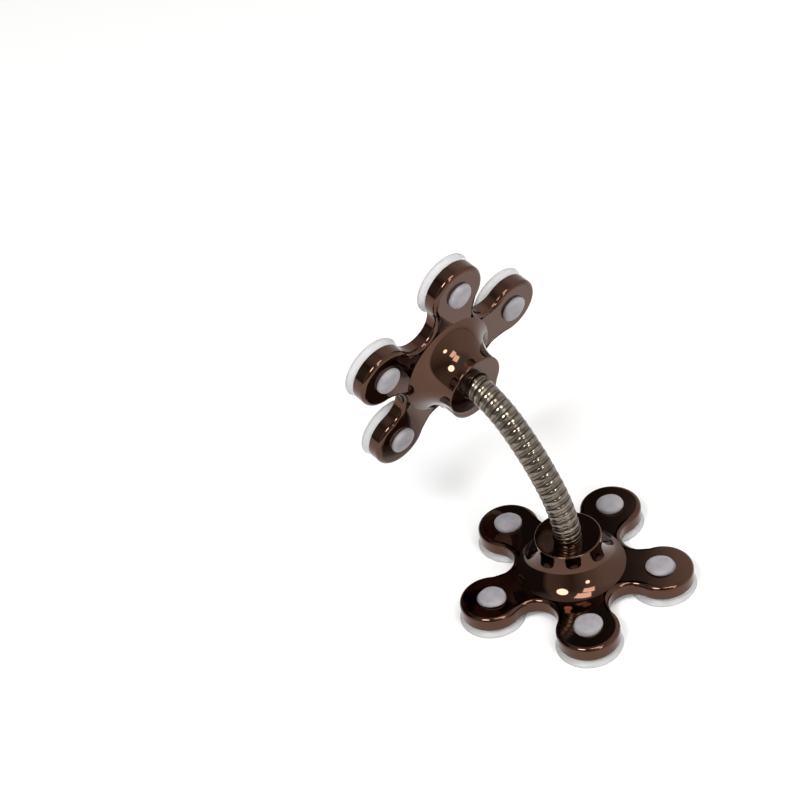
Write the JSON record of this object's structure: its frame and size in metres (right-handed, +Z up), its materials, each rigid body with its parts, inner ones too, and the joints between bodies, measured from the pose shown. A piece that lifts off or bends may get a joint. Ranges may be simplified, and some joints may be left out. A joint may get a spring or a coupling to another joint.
{
  "type": "suction cup phone holder",
  "caption": "Flower-shaped suction plates at both ends of a short bendable gooseneck; one end grips a table and the other holds a phone.",
  "frame": {"origin": "on the table under the lower plate's axis, in the plane of its cup lips", "axes": "+Z up along the lower plate's axis; the neck leans towards -Y, the way the upper plate's cups face"},
  "size_m": [0.0571, 0.0712, 0.0787],
  "materials": {
    "plating": "moulded ABS with bright dark-bronze plating",
    "silicone": "milky silicone rubber",
    "coil": "nickel-plated wire",
    "plug": "turned",
    "fixings": "zinc-plated"
  },
  "bodies": {
    "base": {"base_plate": "plating", "base_washer": "fixings", "base_cup_1": "silicone", "base_cup_2": "silicone", "base_cup_3": "silicone", "base_cup_4": "silicone", "base_cup_5": "silicone"},
    "neck_0": {"base_coil": "coil", "base_plug": "plug", "base_screw": "fixings"},
    "neck_1": {"neck_coil_01": "coil"},
    "neck_2": {"neck_coil_02": "coil"},
    "neck_3": {"neck_coil_03": "coil"},
    "neck_4": {"neck_coil_04": "coil"},
    "neck_5": {"neck_coil_05": "coil"},
    "neck_6": {"neck_coil_06": "coil"},
    "neck_7": {"neck_coil_07": "coil"},
    "neck_8": {"neck_coil_08": "coil"},
    "neck_9": {"neck_coil_09": "coil"},
    "neck_10": {"neck_coil_10": "coil"},
    "neck_11": {"head_coil": "coil", "head_plug": "plug", "head_screw": "fixings"},
    "head": {"head_plate": "plating", "head_washer": "fixings", "head_cup_1": "silicone", "head_cup_2": "silicone", "head_cup_3": "silicone", "head_cup_4": "silicone", "head_cup_5": "silicone"}
  },
  "joints": [
    {"name": "base_swivel", "type": "hinge", "parent": "base", "child": "neck_0", "pos_m": [0, 0, 0.0148], "axis": [0, 0, 1], "continuous": true},
    {"name": "neck_bend_1", "type": "hinge", "parent": "neck_0", "child": "neck_1", "pos_m": [0, 0, 0.01677], "axis": [1, 0, 0], "range_deg": [-32.2, 1]},
    {"name": "neck_sway_1", "type": "hinge", "parent": "neck_1", "child": "neck_2", "pos_m": [0, -0.00106, 0.02057], "axis": [0, 0.9632, 0.2689], "range_deg": [-10.4, 10.4]},
    {"name": "neck_bend_2", "type": "hinge", "parent": "neck_2", "child": "neck_3", "pos_m": [0, -0.00212, 0.02437], "axis": [1, 0, 0], "range_deg": [-32.2, 1]},
    {"name": "neck_sway_2", "type": "hinge", "parent": "neck_3", "child": "neck_4", "pos_m": [0, -0.00417, 0.02775], "axis": [0, 0.8554, 0.518], "range_deg": [-10.4, 10.4]},
    {"name": "neck_bend_3", "type": "hinge", "parent": "neck_4", "child": "neck_5", "pos_m": [0, -0.00621, 0.03112], "axis": [1, 0, 0], "range_deg": [-23.9, 9.3]},
    {"name": "neck_sway_3", "type": "hinge", "parent": "neck_5", "child": "neck_6", "pos_m": [0, -0.00867, 0.03421], "axis": [0, 0.7826, 0.6225], "range_deg": [-10.4, 10.4]},
    {"name": "neck_bend_4", "type": "hinge", "parent": "neck_6", "child": "neck_7", "pos_m": [0, -0.01112, 0.0373], "axis": [1, 0, 0], "range_deg": [-23.9, 9.3]},
    {"name": "neck_sway_4", "type": "hinge", "parent": "neck_7", "child": "neck_8", "pos_m": [0, -0.01395, 0.04005], "axis": [0, 0.6972, 0.7169], "range_deg": [-10.4, 10.4]},
    {"name": "neck_bend_5", "type": "hinge", "parent": "neck_8", "child": "neck_9", "pos_m": [0, -0.01678, 0.0428], "axis": [1, 0, 0], "range_deg": [-32.2, 1]},
    {"name": "neck_sway_5", "type": "hinge", "parent": "neck_9", "child": "neck_10", "pos_m": [0, -0.02024, 0.04469], "axis": [0, 0.4787, 0.878], "range_deg": [-10.4, 10.4]},
    {"name": "neck_bend_6", "type": "hinge", "parent": "neck_10", "child": "neck_11", "pos_m": [0, -0.02371, 0.04658], "axis": [1, 0, 0], "range_deg": [-32.2, 1]},
    {"name": "head_swivel", "type": "hinge", "parent": "neck_11", "child": "head", "pos_m": [0, -0.02563, 0.04702], "axis": [0, -0.9744, 0.225], "continuous": true}
  ]
}
